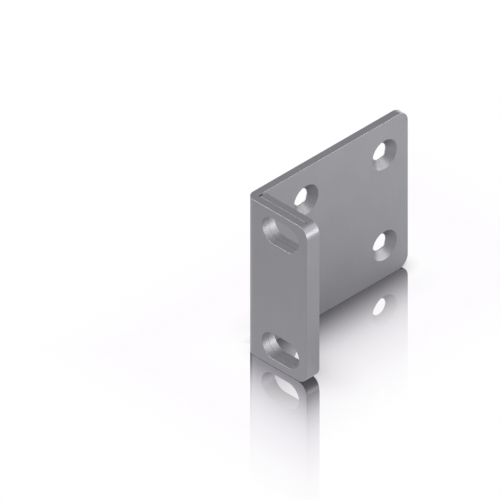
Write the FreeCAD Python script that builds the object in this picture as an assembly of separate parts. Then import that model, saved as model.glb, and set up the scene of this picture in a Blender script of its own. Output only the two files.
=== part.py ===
import FreeCAD, Part
import os
from math import cos, radians, sin, tan

# One ear of a 19 inch rack mount pair, folded from a single sheet of steel.
# Millimetres. X runs across the rack, Y from its front to its back, and Z up.
# The web plate lies on the side of the device, and the flange at its front meets the rack post.
# While it is built, X = 0 is the face on the device and Y = 0 is the front of the flange.

# Sheet and folds
sheet_thickness = 2.0
inside_bend_radius = 0.4
hem_gap = 0.05
hem_end_clearance = 0.15
hem_flare = 0.05
edge_round = 0.1

# Rack slots, one rack unit between their centres, and the metal left round them
rack_slot_pitch = 31.75
slot_length = 11.8
slot_height = 7.0
slot_to_web = 3.15
slot_to_side_edge = 2.55
slot_to_end_edge = 2.05
flange_corner_radius = 3.0

# Screw holes for the device, in a square, countersunk from the flange's side of the web
screw_hole_pitch = 25.0
screw_hole_diameter = 4.3
countersink_diameter = 7.8
countersink_angle = 90.0
front_to_first_hole = 17.25
last_hole_to_rear_edge = 7.45
web_corner_radius = 3.0

# Sizes that follow
outside_bend_radius = inside_bend_radius + sheet_thickness
flange_thickness = 2 * sheet_thickness + hem_gap
slot_centre_x = sheet_thickness + slot_to_web + slot_length / 2
flange_width = slot_centre_x + slot_length / 2 + slot_to_side_edge
return_layer_end = outside_bend_radius + hem_end_clearance
hem_end = flange_width - sheet_thickness
ear_height = rack_slot_pitch + slot_height + 2 * slot_to_end_edge
middle_height = ear_height / 2
web_depth = front_to_first_hole + screw_hole_pitch + last_hole_to_rear_edge

# How far a cutting tool reaches past the metal
overshoot = 1.0


def corner(x, y):
    """A sharp corner of a flat outline."""
    return [FreeCAD.Vector(x, y, 0)]


def arc(centre_x, centre_y, radius, start, end):
    """The start, middle and end of a round stretch of a flat outline, angles in degrees."""
    angles = [radians(start), radians((start + end) / 2), radians(end)]
    return [
        FreeCAD.Vector(centre_x + radius * cos(angle), centre_y + radius * sin(angle), 0)
        for angle in angles
    ]


def face_inside(outline):
    """The face inside a closed outline of corners and arcs with straight lines between them."""
    edges = []
    for piece, following in zip(outline, outline[1:] + outline[:1]):
        if len(piece) == 3:
            edges.append(Part.Arc(*piece).toShape())
        edges.append(Part.makeLine(piece[-1], following[0]))
    return Part.Face(Part.Wire(edges))


def folded_sheet():
    """The web, the bend and the flange, whose two layers are parted later."""
    section = face_inside([
        corner(0, web_depth),
        arc(outside_bend_radius, outside_bend_radius, outside_bend_radius, 180, 270),
        corner(flange_width, 0),
        corner(flange_width, flange_thickness),
        corner(return_layer_end, flange_thickness),
        corner(return_layer_end, sheet_thickness),
        arc(outside_bend_radius, outside_bend_radius, inside_bend_radius, 270, 180),
        corner(sheet_thickness, web_depth),
    ])
    return section.extrude(FreeCAD.Vector(0, 0, ear_height))


def block_with_round_edges(radius, edge_middles):
    """A block as large as the ear, with the edges through the given points rounded."""
    block = Part.makeBox(flange_width, web_depth, ear_height)
    edges = [
        edge for edge in block.Edges
        if any(edge.CenterOfMass.isEqual(middle, 0.001) for middle in edge_middles)
    ]
    return block.makeFillet(radius, edges)


def with_round_corners(ear):
    """The ear with the flange's two outer corners and the web's two rear corners rounded."""
    heights = [0, ear_height]
    flange_outline = block_with_round_edges(
        flange_corner_radius,
        [FreeCAD.Vector(flange_width, web_depth / 2, height) for height in heights],
    )
    web_outline = block_with_round_edges(
        web_corner_radius,
        [FreeCAD.Vector(flange_width / 2, web_depth, height) for height in heights],
    )
    return ear.common(flange_outline).common(web_outline)


def rack_slot(height):
    """A slot through both layers of the flange, with full round ends."""
    radius = slot_height / 2
    half_straight = slot_length / 2 - radius
    reach = flange_thickness + 2 * overshoot
    left = FreeCAD.Vector(slot_centre_x - half_straight, -overshoot, height)
    right = FreeCAD.Vector(slot_centre_x + half_straight, -overshoot, height)
    middle = Part.makeBox(2 * half_straight, reach, slot_height, left - FreeCAD.Vector(0, 0, radius))
    ends = [Part.makeCylinder(radius, reach, end, FreeCAD.Vector(0, 1, 0)) for end in (left, right)]
    return middle.fuse(ends).removeSplitter()


def is_outward_corner(solid, edge):
    """Whether two faces meet at an outward corner along an edge, not smoothly and not in a nook."""
    place = edge.valueAt((edge.FirstParameter + edge.LastParameter) / 2)
    normals = [
        face.normalAt(*face.Surface.parameter(place))
        for face in solid.ancestorsOfType(edge, Part.Face)
    ]
    above_one_face = place + (normals[0] - normals[1]) * (edge_round / 10)
    return normals[0].dot(normals[1]) < 0.5 and not solid.isInside(above_one_face, 0.0001, False)


def hem_slit():
    """The gap between the flange's two layers, flared at the top and bottom edges of the sheet."""
    half_gap = hem_gap / 2
    widest = half_gap + hem_flare + overshoot
    slit = face_inside([
        corner(-half_gap, hem_flare),
        corner(-half_gap, ear_height - hem_flare),
        corner(-widest, ear_height + overshoot),
        corner(widest, ear_height + overshoot),
        corner(half_gap, ear_height - hem_flare),
        corner(half_gap, hem_flare),
        corner(widest, -overshoot),
        corner(-widest, -overshoot),
    ])
    # The outline's own axes turn to Y and Z, and it is drawn out along X.
    slit.rotate(FreeCAD.Vector(), FreeCAD.Vector(1, 1, 1), 120)
    slit.translate(FreeCAD.Vector(return_layer_end, sheet_thickness + half_gap, 0))
    return slit.extrude(FreeCAD.Vector(hem_end - return_layer_end, 0, 0))


def screw_hole(depth, height):
    """A hole through the web for a countersunk screw whose head lies on the flange's side."""
    hole_radius = screw_hole_diameter / 2
    head_radius = countersink_diameter / 2
    sink_depth = (head_radius - hole_radius) / tan(radians(countersink_angle / 2))
    towards_device = FreeCAD.Vector(-1, 0, 0)
    start = FreeCAD.Vector(sheet_thickness + overshoot, depth, height)
    rim = FreeCAD.Vector(sheet_thickness, depth, height)
    shank = Part.makeCylinder(hole_radius, sheet_thickness + 2 * overshoot, start, towards_device)
    return shank.fuse(Part.makeCone(head_radius, hole_radius, sink_depth, rim, towards_device))


def build_ear():
    ear = with_round_corners(folded_sheet())
    slot_heights = [middle_height - rack_slot_pitch / 2, middle_height + rack_slot_pitch / 2]
    ear = ear.cut([rack_slot(height) for height in slot_heights])
    ear = ear.makeFillet(edge_round, [edge for edge in ear.Edges if is_outward_corner(ear, edge)])
    hole_depths = [front_to_first_hole, front_to_first_hole + screw_hole_pitch]
    hole_heights = [middle_height - screw_hole_pitch / 2, middle_height + screw_hole_pitch / 2]
    holes = [screw_hole(depth, height) for depth in hole_depths for height in hole_heights]
    return ear.cut([hem_slit()] + holes)


# The ear stands on the lower edges of its web and flange, with the origin below its middle.
ear_bracket = build_ear()
ear_bracket.translate(FreeCAD.Vector(-flange_width / 2, -web_depth / 2, 0))

os.makedirs("parts", exist_ok=True)
ear_bracket.exportStep("parts/ear_bracket.step")
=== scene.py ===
import math

import bpy
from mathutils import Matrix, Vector


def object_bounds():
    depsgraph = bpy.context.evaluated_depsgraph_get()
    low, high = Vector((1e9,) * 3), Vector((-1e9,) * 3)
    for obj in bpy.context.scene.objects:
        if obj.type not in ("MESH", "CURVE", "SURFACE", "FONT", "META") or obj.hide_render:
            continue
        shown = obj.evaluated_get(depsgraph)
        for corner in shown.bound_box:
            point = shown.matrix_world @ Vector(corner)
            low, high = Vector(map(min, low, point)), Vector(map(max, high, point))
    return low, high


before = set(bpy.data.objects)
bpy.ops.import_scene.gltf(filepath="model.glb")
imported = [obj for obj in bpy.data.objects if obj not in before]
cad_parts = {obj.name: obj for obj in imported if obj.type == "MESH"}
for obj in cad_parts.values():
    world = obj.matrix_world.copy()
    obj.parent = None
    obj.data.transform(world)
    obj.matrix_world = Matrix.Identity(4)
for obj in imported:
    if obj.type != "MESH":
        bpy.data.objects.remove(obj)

cad_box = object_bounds()

MM = 0.001

# The view: an even look down a cube's diagonal, from the front and the flange's side, and the
# pixel at which it shows the middle of the ear's foot
IMAGE_WIDTH = 500
PIXELS_PER_MM = 4.439
ORIGIN_PIXEL = (354.3, 323.35)
VIEW_AZIMUTH = math.radians(45.0)
VIEW_ELEVATION = math.atan(math.sqrt(0.5))
CAMERA_DISTANCE = 1.0

# The sheet, its bend, the two layers of the flange and the lips of the hem between them
SHEET = 2.0 * MM
BEND_RADIUS = 2.4 * MM
FLANGE_THICKNESS = 4.05 * MM
CORNER_RADIUS = 3.0 * MM
HEM_HALF_WIDTH = 0.08 * MM

# The lower slot in the flange: its centre across and up, half its length between round ends, and
# how far round it its wall is still found
SLOT_CENTRE = (1.3 * MM, 5.55 * MM)
SLOT_HALF_STRAIGHT = 2.4 * MM
SLOT_RADIUS = 3.5 * MM
SLOT_MARGIN = 0.05 * MM

# How much of a face's normal looks straight out of the sheet: at least this on the sheet's own
# faces, and about this on the slope of a countersink
FLAT_FACE = 0.97
SINK_SLOPE = math.sqrt(0.5)
SINK_PLAY = 0.05

# The patterns in the plating: their sizes, and how far marks are squeezed along their length
CLOUD_WIDTH = 9.0 * MM
GRAIN_WIDTH = 0.28 * MM
MARK_WIDTH = 0.3 * MM
LONG_MARKS = 0.02
SHORT_MARKS = 0.05
# Painted light that lightens the slots' walls, and how much rougher the punch leaves them
SLOT_PAINTED_LIGHT = 0.55
TORN_ROUGHER = 0.08

# How much of the ear's light the board mirrors and the tint that it gives it, the height at
# which that has fallen to about a half, and the share that is taken off so that it ends
BOARD_MIRROR = 0.3
BOARD_TINT = (0.99, 0.96, 1.0)
MIRROR_FADE = 8.5 * MM
MIRROR_END = 0.05

# A smooth maximum this many radii wide follows a round corner. In the mirror image of the slot,
# the wall's height is mixed from the web's and the flange's by the first share, and the height
# of what shows past the wall by the second share more.
CORNER_BLEND = 1.75
WALL_PAST_FRONT = 0.25
WEB_PAST_WALL = 0.6

# The shade in the mirror image at the ear's foot, and the ear's shade on the board, which sets
# in between two places behind the flange's front
FOOT_REACH = 4.0 * MM
FOOT_SHADE_OF_WEB = 0.75
FOOT_SHADE_OF_FLANGE = 0.15
SHADE_REACH_TO_METAL = 60.0 * MM
SHADE_REACH_TO_EYE = 12.0 * MM
SHADE_SOONER_TO_EYE = 3.5 * MM
SHADE_SETS_IN = 3.0 * MM
SHADE_IS_FULL = 10.0 * MM
CLEARED_IN_FRONT = 0.9
CLEARED_BEHIND = 0.2

# The light that the board sends to the metal falls to this share over this way to the front
POOL_DEPTH = 120.0 * MM
POOL_EDGE = 0.7

ROOM_STRENGTH = 0.66
FLOOR_HALF_WIDTH = 2.0
LAMP_AIM_HEIGHT = 20.0 * MM

# Each softbox: azimuth and elevation in degrees, distance and size in metres, and radiance
SOFTBOXES = {
    "low_right_softbox": (20, 11.3, 0.51, (0.30, 0.20), 5.4),
    "high_right_softbox": (35, 50, 0.5, (0.30, 0.25), 1.75),
    "low_back_softbox": (80, 11.3, 0.51, (0.30, 0.20), 1.8),
    "low_left_softbox": (127, 3, 0.5, (0.30, 0.08), 4.0),
    "left_softbox": (226, 38, 0.5, (0.30, 0.30), 4.8),
    "high_left_softbox": (255, 62, 0.5, (0.25, 0.25), 6.0),
    "near_back_softbox": (53, 19, 0.145, (0.08, 0.08), 2.4),
}


def srgb(text):
    """A hex colour as the linear colour, with alpha, that shaders take."""
    values = [int(text[place:place + 2], 16) / 255 for place in (1, 3, 5)]
    linear = [
        value / 12.92 if value <= 0.04045 else ((value + 0.055) / 1.055) ** 2.4
        for value in values
    ]
    return (*linear, 1.0)


def add_node(tree, kind, inputs=None, **settings):
    """A new node with its settings, whose inputs are given plain values or sockets to link from."""
    node = tree.nodes.new(kind)
    for name, value in settings.items():
        setattr(node, name, value)
    for name, value in (inputs or {}).items():
        if isinstance(value, bpy.types.NodeSocket):
            tree.links.new(value, node.inputs[name])
        else:
            node.inputs[name].default_value = value
    return node


def empty_material(name):
    """A material with nothing in its tree but the output."""
    material = bpy.data.materials.new(name)
    material.use_nodes = True
    material.node_tree.nodes.clear()
    return material, material.node_tree, add_node(material.node_tree, "ShaderNodeOutputMaterial")


def within_slot(tree, across, rise):
    """Whether a place across and up in the flange's plane is in the lower slot or on its wall."""
    offset = add_node(tree, "ShaderNodeCombineXYZ", {"X": across, "Y": rise}).outputs["Vector"]
    for operation, other in (
        ("SUBTRACT", (*SLOT_CENTRE, 0)), ("ABSOLUTE", (0, 0, 0)),
        ("SUBTRACT", (SLOT_HALF_STRAIGHT, 0, 0)), ("MAXIMUM", (0, 0, 0)),
    ):
        offset = add_node(
            tree, "ShaderNodeVectorMath", {0: offset, 1: other}, operation=operation,
        ).outputs["Vector"]
    off_line = add_node(tree, "ShaderNodeVectorMath", {0: offset}, operation="LENGTH").outputs["Value"]
    return add_node(
        tree, "ShaderNodeMath", {0: off_line, 1: SLOT_RADIUS + SLOT_MARGIN}, operation="LESS_THAN",
    ).outputs["Value"]


def tool_marks(tree, place, normal, low, high):
    """The way that tool marks are drawn out over each face, and the places of cuts and the hem."""
    across, depth = add_node(tree, "ShaderNodeSeparateXYZ", {"Vector": place}).outputs[:2]
    in_web = add_node(
        tree, "ShaderNodeMath", {0: across, 1: low.x + BEND_RADIUS}, operation="LESS_THAN",
    ).outputs["Value"]
    in_flange = add_node(
        tree, "ShaderNodeMath", {0: depth, 1: low.y + FLANGE_THICKNESS}, operation="LESS_THAN",
    ).outputs["Value"]
    in_fold = add_node(
        tree, "ShaderNodeMath", {0: across, 1: high.x - SHEET}, operation="GREATER_THAN",
    ).outputs["Value"]
    sideways = add_node(
        tree, "ShaderNodeMath", {0: in_web, 1: in_fold}, operation="MAXIMUM",
    ).outputs["Value"]

    # The sheet's own faces look sideways in the web and the hem's fold, and to the front or the
    # back in the flange. Every other face was cut.
    outward = add_node(tree, "ShaderNodeCombineXYZ", {"X": sideways, "Y": in_flange}).outputs["Vector"]
    facing = add_node(
        tree, "ShaderNodeVectorMath", {0: normal, 1: outward}, operation="MULTIPLY",
    ).outputs["Vector"]
    straight = add_node(tree, "ShaderNodeVectorMath", {0: facing}, operation="LENGTH").outputs["Value"]
    cut = add_node(
        tree, "ShaderNodeMath", {0: straight, 1: FLAT_FACE}, operation="LESS_THAN",
    ).outputs["Value"]
    slanted = add_node(
        tree, "ShaderNodeMath", {0: straight, 1: SINK_SLOPE, 2: SINK_PLAY}, operation="COMPARE",
    ).outputs["Value"]
    sunk = add_node(
        tree, "ShaderNodeMath", {0: slanted, 1: in_web}, operation="MULTIPLY",
    ).outputs["Value"]

    # Rolling lines run along the folds, and the shear marks of a blade or punch through the
    # sheet, which is along Y in the flange and along X in the web. A countersink has rings.
    through_sheet = add_node(
        tree, "ShaderNodeMix", {"Factor": in_web, "A": (1, SHORT_MARKS, 1), "B": (SHORT_MARKS, 1, 1)},
        data_type="VECTOR",
    ).outputs["Result"]
    on_sheet = add_node(
        tree, "ShaderNodeMix", {"Factor": cut, "A": (1, 1, LONG_MARKS), "B": through_sheet},
        data_type="VECTOR",
    ).outputs["Result"]
    stretch = add_node(
        tree, "ShaderNodeMix", {"Factor": sunk, "A": on_sheet, "B": (1, LONG_MARKS, LONG_MARKS)},
        data_type="VECTOR",
    ).outputs["Result"]

    # The hem closes between the flange's two layers, from the bend to the fold
    between_layers = add_node(
        tree, "ShaderNodeMath", {0: depth, 1: low.y + FLANGE_THICKNESS / 2, 2: HEM_HALF_WIDTH},
        operation="COMPARE",
    ).outputs["Value"]
    hem = add_node(
        tree, "ShaderNodeMath", {0: between_layers, 1: sideways}, operation="GREATER_THAN",
    ).outputs["Value"]
    return stretch, cut, hem


def zinc_plated_steel(low, high):
    """Cold rolled steel sheet, punched and folded, with bright zinc plating left satin, painted light on
    the slots' walls and painted shade on the hem's lips.
    """
    material, tree, output = empty_material("zinc_plated_steel")
    coordinates = add_node(tree, "ShaderNodeTexCoord").outputs
    place = coordinates["Object"]
    stretch, cut, hem = tool_marks(tree, place, coordinates["Normal"], low, high)

    # The plating bath leaves faint clouds in the shine, and a fine grain
    clouds = add_node(
        tree, "ShaderNodeTexNoise",
        {"Vector": place, "Scale": 1 / CLOUD_WIDTH, "Detail": 3.0, "Roughness": 0.55},
    ).outputs["Fac"]
    grain = add_node(
        tree, "ShaderNodeTexNoise",
        {"Vector": place, "Scale": 1 / GRAIN_WIDTH, "Detail": 2.0, "Roughness": 0.6},
    ).outputs["Fac"]

    # Lines of the rolls and tools, coarser than real ones, which are too fine to show, and
    # deeper where the sheet was cut
    drawn_out = add_node(
        tree, "ShaderNodeVectorMath", {0: place, 1: stretch}, operation="MULTIPLY",
    ).outputs["Vector"]
    lines = add_node(
        tree, "ShaderNodeTexNoise",
        {"Vector": drawn_out, "Scale": 1 / MARK_WIDTH, "Detail": 2.0, "Roughness": 0.6},
    ).outputs["Fac"]
    depth_of_lines = add_node(
        tree, "ShaderNodeMapRange", {"Value": cut, "To Min": 1.2, "To Max": 2.4},
    ).outputs["Result"]
    relief = add_node(
        tree, "ShaderNodeMath", {0: lines, 1: depth_of_lines, 2: grain}, operation="MULTIPLY_ADD",
    ).outputs["Value"]
    bump = add_node(
        tree, "ShaderNodeBump", {"Height": relief, "Strength": 0.12, "Distance": 0.01 * MM},
    ).outputs["Normal"]

    # A punch tears the walls of the slots, which leaves them rougher, and their plating is painted
    # lighter there, a painted light in the slots' recess.
    # The upper slot mirrors the lower one.
    across, _, rise = add_node(tree, "ShaderNodeSeparateXYZ", {"Vector": place}).outputs
    folded = add_node(
        tree, "ShaderNodeMath", {0: rise, 1: high.z / 2}, operation="PINGPONG",
    ).outputs["Value"]
    tear_and_painted_light = within_slot(tree, across, folded)
    tone = add_node(tree, "ShaderNodeMath", {0: clouds, 1: lines}, operation="MULTIPLY").outputs["Value"]
    tone_and_painted_light = add_node(
        tree, "ShaderNodeMath", {0: tear_and_painted_light, 1: SLOT_PAINTED_LIGHT, 2: tone}, operation="MULTIPLY_ADD",
    ).outputs["Value"]
    plating = add_node(
        tree, "ShaderNodeMix", {"Factor": tone_and_painted_light, "A": srgb("#8d8d91"), "B": srgb("#9a9a9e")},
        data_type="RGBA",
    ).outputs["Result"]

    # Painted shade darkens the hem's lips in the crease between the layers and dims the highlight along
    # it, except on the slots' walls
    painted_hem_shade = add_node(tree, "ShaderNodeMath", {0: hem, 1: tear_and_painted_light}, operation="GREATER_THAN").outputs["Value"]
    colour = add_node(
        tree, "ShaderNodeMix", {"Factor": painted_hem_shade, "A": plating, "B": srgb("#6d6d71")},
        data_type="RGBA",
    ).outputs["Result"]
    satin = add_node(
        tree, "ShaderNodeMapRange", {"Value": clouds, "To Min": 0.41, "To Max": 0.46},
    ).outputs["Result"]
    roughness = add_node(
        tree, "ShaderNodeMath", {0: tear_and_painted_light, 1: TORN_ROUGHER, 2: satin}, operation="MULTIPLY_ADD",
    ).outputs["Value"]
    metal = add_node(
        tree, "ShaderNodeBsdfPrincipled",
        {"Base Color": colour, "Metallic": 1.0, "Roughness": roughness, "Normal": bump},
    )
    tree.links.new(metal.outputs["BSDF"], output.inputs["Surface"])
    return material


def mirrored_height(tree, across, depth, low, high):
    """How high up the board mirrors the ear at each place, and whether it meets the flange there.

    In the photograph's view, the way over the board to a face of the ear, across or in depth, is
    also the height that the board mirrors there.
    """
    to_front = add_node(
        tree, "ShaderNodeMath", {0: low.y, 1: depth}, operation="SUBTRACT",
    ).outputs["Value"]
    to_rear = add_node(
        tree, "ShaderNodeMath", {0: depth, 1: high.y}, operation="SUBTRACT",
    ).outputs["Value"]
    to_ends = add_node(
        tree, "ShaderNodeMath", {0: to_front, 1: to_rear}, operation="MAXIMUM",
    ).outputs["Value"]
    to_flange_back = add_node(
        tree, "ShaderNodeMath", {0: low.y + FLANGE_THICKNESS, 1: depth}, operation="SUBTRACT",
    ).outputs["Value"]
    to_left = add_node(
        tree, "ShaderNodeMath", {0: low.x, 1: across}, operation="SUBTRACT",
    ).outputs["Value"]
    heights = []
    for right, corner in ((low.x + SHEET, 0.0), (high.x, CORNER_RADIUS)):
        to_right = add_node(
            tree, "ShaderNodeMath", {0: across, 1: right}, operation="SUBTRACT",
        ).outputs["Value"]
        up_right = add_node(
            tree, "ShaderNodeMath", {0: to_right, 1: 0.0, 2: CORNER_BLEND * corner},
            operation="SMOOTH_MAX",
        ).outputs["Value"]
        up_sides = add_node(
            tree, "ShaderNodeMath", {0: up_right, 1: to_left}, operation="MAXIMUM",
        ).outputs["Value"]
        heights.append(add_node(
            tree, "ShaderNodeMath", {0: up_sides, 1: to_ends}, operation="MAXIMUM",
        ).outputs["Value"])
    up_web, up_flange = heights
    meets_flange = add_node(
        tree, "ShaderNodeMath", {0: up_flange, 1: to_flange_back}, operation="LESS_THAN",
    ).outputs["Value"]

    # In the lower slot it meets the wall, and past that the web, which is higher up
    in_slot = []
    for way in (to_front, to_flange_back):
        reached = add_node(
            tree, "ShaderNodeMath", {0: across, 1: way}, operation="SUBTRACT",
        ).outputs["Value"]
        in_slot.append(within_slot(tree, reached, way))
    at_front, at_back = in_slot
    beyond = add_node(
        tree, "ShaderNodeMath", {0: at_back, 1: -WEB_PAST_WALL, 2: -WALL_PAST_FRONT},
        operation="MULTIPLY_ADD",
    ).outputs["Value"]
    on_front = add_node(
        tree, "ShaderNodeMath", {0: at_front, 1: beyond, 2: meets_flange}, operation="MULTIPLY_ADD",
    ).outputs["Value"]
    height = add_node(
        tree, "ShaderNodeMix", {"Factor": on_front, "A": up_web, "B": up_flange}, data_type="FLOAT",
    ).outputs["Result"]
    return height, meets_flange


def mirrored_share(tree, height, to_eye):
    """The share of its light that the board mirrors to the eye, which falls off with height."""
    fades = add_node(
        tree, "ShaderNodeMath", {0: height, 1: MIRROR_FADE}, operation="DIVIDE",
    ).outputs["Value"]
    weakened = add_node(
        tree, "ShaderNodeMath", {0: fades, 1: fades, 2: 1.0}, operation="MULTIPLY_ADD",
    ).outputs["Value"]
    remaining = add_node(
        tree, "ShaderNodeMath", {0: 1.0 + MIRROR_END, 1: weakened}, operation="DIVIDE",
    ).outputs["Value"]
    clear = add_node(
        tree, "ShaderNodeMath", {0: remaining, 1: MIRROR_END}, operation="SUBTRACT", use_clamp=True,
    ).outputs["Value"]
    return add_node(tree, "ShaderNodeMath", {0: to_eye, 1: clear}, operation="MULTIPLY").outputs["Value"]


def shaded_white(tree, depth, paint, to_eye, low):
    """The board's own white, with the ear's shade on it.

    What the metal reflects is shaded wider. The shade is weaker in front of the ear, further back
    for the metal, for which the light in front also falls off.
    """
    reach = add_node(
        tree, "ShaderNodeMapRange",
        {"Value": to_eye, "To Min": SHADE_REACH_TO_METAL, "To Max": SHADE_REACH_TO_EYE},
    ).outputs["Result"]
    shade = add_node(
        tree, "ShaderNodeAmbientOcclusion", {"Color": paint, "Distance": reach}, samples=16,
    ).outputs["Color"]
    behind = add_node(
        tree, "ShaderNodeMath", {0: to_eye, 1: SHADE_SOONER_TO_EYE, 2: depth},
        operation="MULTIPLY_ADD",
    ).outputs["Value"]
    cleared = add_node(
        tree, "ShaderNodeMapRange", {
            "Value": behind, "From Min": low.y + SHADE_SETS_IN, "From Max": low.y + SHADE_IS_FULL,
            "To Min": CLEARED_IN_FRONT, "To Max": CLEARED_BEHIND,
        },
    ).outputs["Result"]
    shaded = add_node(
        tree, "ShaderNodeMix", {"Factor": cleared, "A": shade, "B": paint}, data_type="RGBA",
    ).outputs["Result"]
    pool = add_node(
        tree, "ShaderNodeMapRange", {
            "Value": depth, "From Min": low.y - POOL_DEPTH, "From Max": low.y,
            "To Min": POOL_EDGE, "To Max": 1.0,
        },
    ).outputs["Result"]
    strength = add_node(
        tree, "ShaderNodeMath", {0: to_eye, 1: pool}, operation="MAXIMUM",
    ).outputs["Value"]
    return add_node(tree, "ShaderNodeEmission", {"Color": shaded, "Strength": strength})


def glossy_white_board(low, high):
    """White acrylic board: it mirrors what stands on it, and the mirror image fades with height."""
    material, tree, output = empty_material("glossy_white_board")
    place = add_node(tree, "ShaderNodeNewGeometry").outputs["Position"]
    across, depth = add_node(tree, "ShaderNodeSeparateXYZ", {"Vector": place}).outputs[:2]
    to_eye = add_node(tree, "ShaderNodeLightPath").outputs["Is Camera Ray"]
    height, meets_flange = mirrored_height(tree, across, depth, low, high)
    share = mirrored_share(tree, height, to_eye)

    # The board is tinted wherever it mirrors, and the mirror image is darkest at the ear's foot,
    # more so at the web's, where the flange keeps off the light
    tinted = add_node(
        tree, "ShaderNodeMapRange", {"Value": share, "From Max": 0.1},
    ).outputs["Result"]
    paint = add_node(
        tree, "ShaderNodeMix", {"Factor": tinted, "A": (1, 1, 1, 1), "B": (*BOARD_TINT, 1)},
        data_type="RGBA",
    ).outputs["Result"]
    gloss = (*(BOARD_MIRROR * part for part in BOARD_TINT), 1)
    at_foot = add_node(
        tree, "ShaderNodeAmbientOcclusion", {"Color": gloss, "Distance": FOOT_REACH}, samples=16,
    ).outputs["Color"]
    dulled = add_node(
        tree, "ShaderNodeMapRange",
        {"Value": meets_flange, "To Min": FOOT_SHADE_OF_WEB, "To Max": FOOT_SHADE_OF_FLANGE},
    ).outputs["Result"]
    mirrored = add_node(
        tree, "ShaderNodeMix", {"Factor": dulled, "A": gloss, "B": at_foot}, data_type="RGBA",
    ).outputs["Result"]

    white = shaded_white(tree, depth, paint, to_eye, low)
    mirror = add_node(tree, "ShaderNodeBsdfGlossy", {"Color": mirrored, "Roughness": 0.0})
    board = add_node(
        tree, "ShaderNodeMixShader",
        {0: share, 1: white.outputs["Emission"], 2: mirror.outputs["BSDF"]},
    )
    tree.links.new(board.outputs["Shader"], output.inputs["Surface"])
    return material


def add_floor(low, high):
    """The board that the ear stands on, wide enough to fill any view."""
    half = FLOOR_HALF_WIDTH
    mesh = bpy.data.meshes.new("floor")
    corners = [(-half, -half, 0), (half, -half, 0), (half, half, 0), (-half, half, 0)]
    mesh.from_pydata(corners, [], [(0, 1, 2, 3)])
    floor = bpy.data.objects.new("floor", mesh)
    mesh.materials.append(glossy_white_board(low, high))
    bpy.context.scene.collection.objects.link(floor)


def studio_walls():
    """The world: white to the eye and in the board's mirror image, and a dimmer room to the metal."""
    world = bpy.data.worlds.new("studio")
    world.use_nodes = True
    tree = world.node_tree
    tree.nodes.clear()
    output = add_node(tree, "ShaderNodeOutputWorld")
    room = add_node(tree, "ShaderNodeBackground", {"Color": srgb("#fefeff"), "Strength": ROOM_STRENGTH})
    white = add_node(tree, "ShaderNodeBackground", {"Color": (1, 1, 1, 1), "Strength": 1.0})

    # Only the board's mirror sends singular rays here, and what it takes off them is made up for
    untinted = (*(1 / part for part in BOARD_TINT), 1)
    mirrored = add_node(
        tree, "ShaderNodeBackground", {"Color": untinted, "Strength": 1.0 / BOARD_MIRROR},
    )
    rays = add_node(tree, "ShaderNodeLightPath").outputs
    past_board = add_node(
        tree, "ShaderNodeMixShader",
        {0: rays["Is Camera Ray"], 1: room.outputs["Background"], 2: white.outputs["Background"]},
    )
    seen = add_node(
        tree, "ShaderNodeMixShader",
        {0: rays["Is Singular Ray"], 1: past_board.outputs["Shader"], 2: mirrored.outputs["Background"]},
    )
    tree.links.new(seen.outputs["Shader"], output.inputs["Surface"])
    bpy.context.scene.world = world


def add_softbox(name, azimuth, elevation, distance, size, radiance):
    """A lamp that faces the ear's middle, of an even brightness over its face."""
    turn, rise = math.radians(azimuth), math.radians(elevation)
    light = bpy.data.lights.new(name, "AREA")
    light.shape = "RECTANGLE"
    light.size, light.size_y = size
    light.energy = radiance * math.pi * size[0] * size[1]
    lamp = bpy.data.objects.new(name, light)
    lamp.location = distance * Vector((
        math.cos(turn) * math.cos(rise), math.sin(turn) * math.cos(rise), math.sin(rise),
    ))
    away = lamp.location - Vector((0, 0, LAMP_AIM_HEIGHT))
    lamp.rotation_euler = away.to_track_quat("Z", "Y").to_euler()
    bpy.context.scene.collection.objects.link(lamp)


def add_camera():
    """A camera without perspective, aimed so that the ear stands where the photograph has it."""
    back = Vector((
        math.sin(VIEW_AZIMUTH) * math.cos(VIEW_ELEVATION),
        -math.cos(VIEW_AZIMUTH) * math.cos(VIEW_ELEVATION),
        math.sin(VIEW_ELEVATION),
    ))
    turn = back.to_track_quat("Z", "Y")
    right = turn @ Vector((1, 0, 0))
    up = turn @ Vector((0, 1, 0))
    middle = IMAGE_WIDTH / 2
    aim = right * (middle - ORIGIN_PIXEL[0]) + up * (ORIGIN_PIXEL[1] - middle)
    data = bpy.data.cameras.new("camera")
    data.type = "ORTHO"
    data.ortho_scale = IMAGE_WIDTH / PIXELS_PER_MM * MM
    camera = bpy.data.objects.new("camera", data)
    camera.location = aim / PIXELS_PER_MM * MM + back * CAMERA_DISTANCE
    camera.rotation_euler = turn.to_euler()
    bpy.context.scene.collection.objects.link(camera)
    bpy.context.scene.camera = camera


def finish_ear(low, high):
    """Plates the sheet, and shades each face smoothly up to its sharp borders."""
    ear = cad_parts["ear_bracket"]
    ear.data.polygons.foreach_set("use_smooth", [True] * len(ear.data.polygons))
    ear.data.materials.clear()
    ear.data.materials.append(zinc_plated_steel(low, high))


finish_ear(*cad_box)
add_floor(*cad_box)
studio_walls()
for name, placing in SOFTBOXES.items():
    add_softbox(name, *placing)
add_camera()
bpy.context.scene.view_settings.view_transform = "Standard"
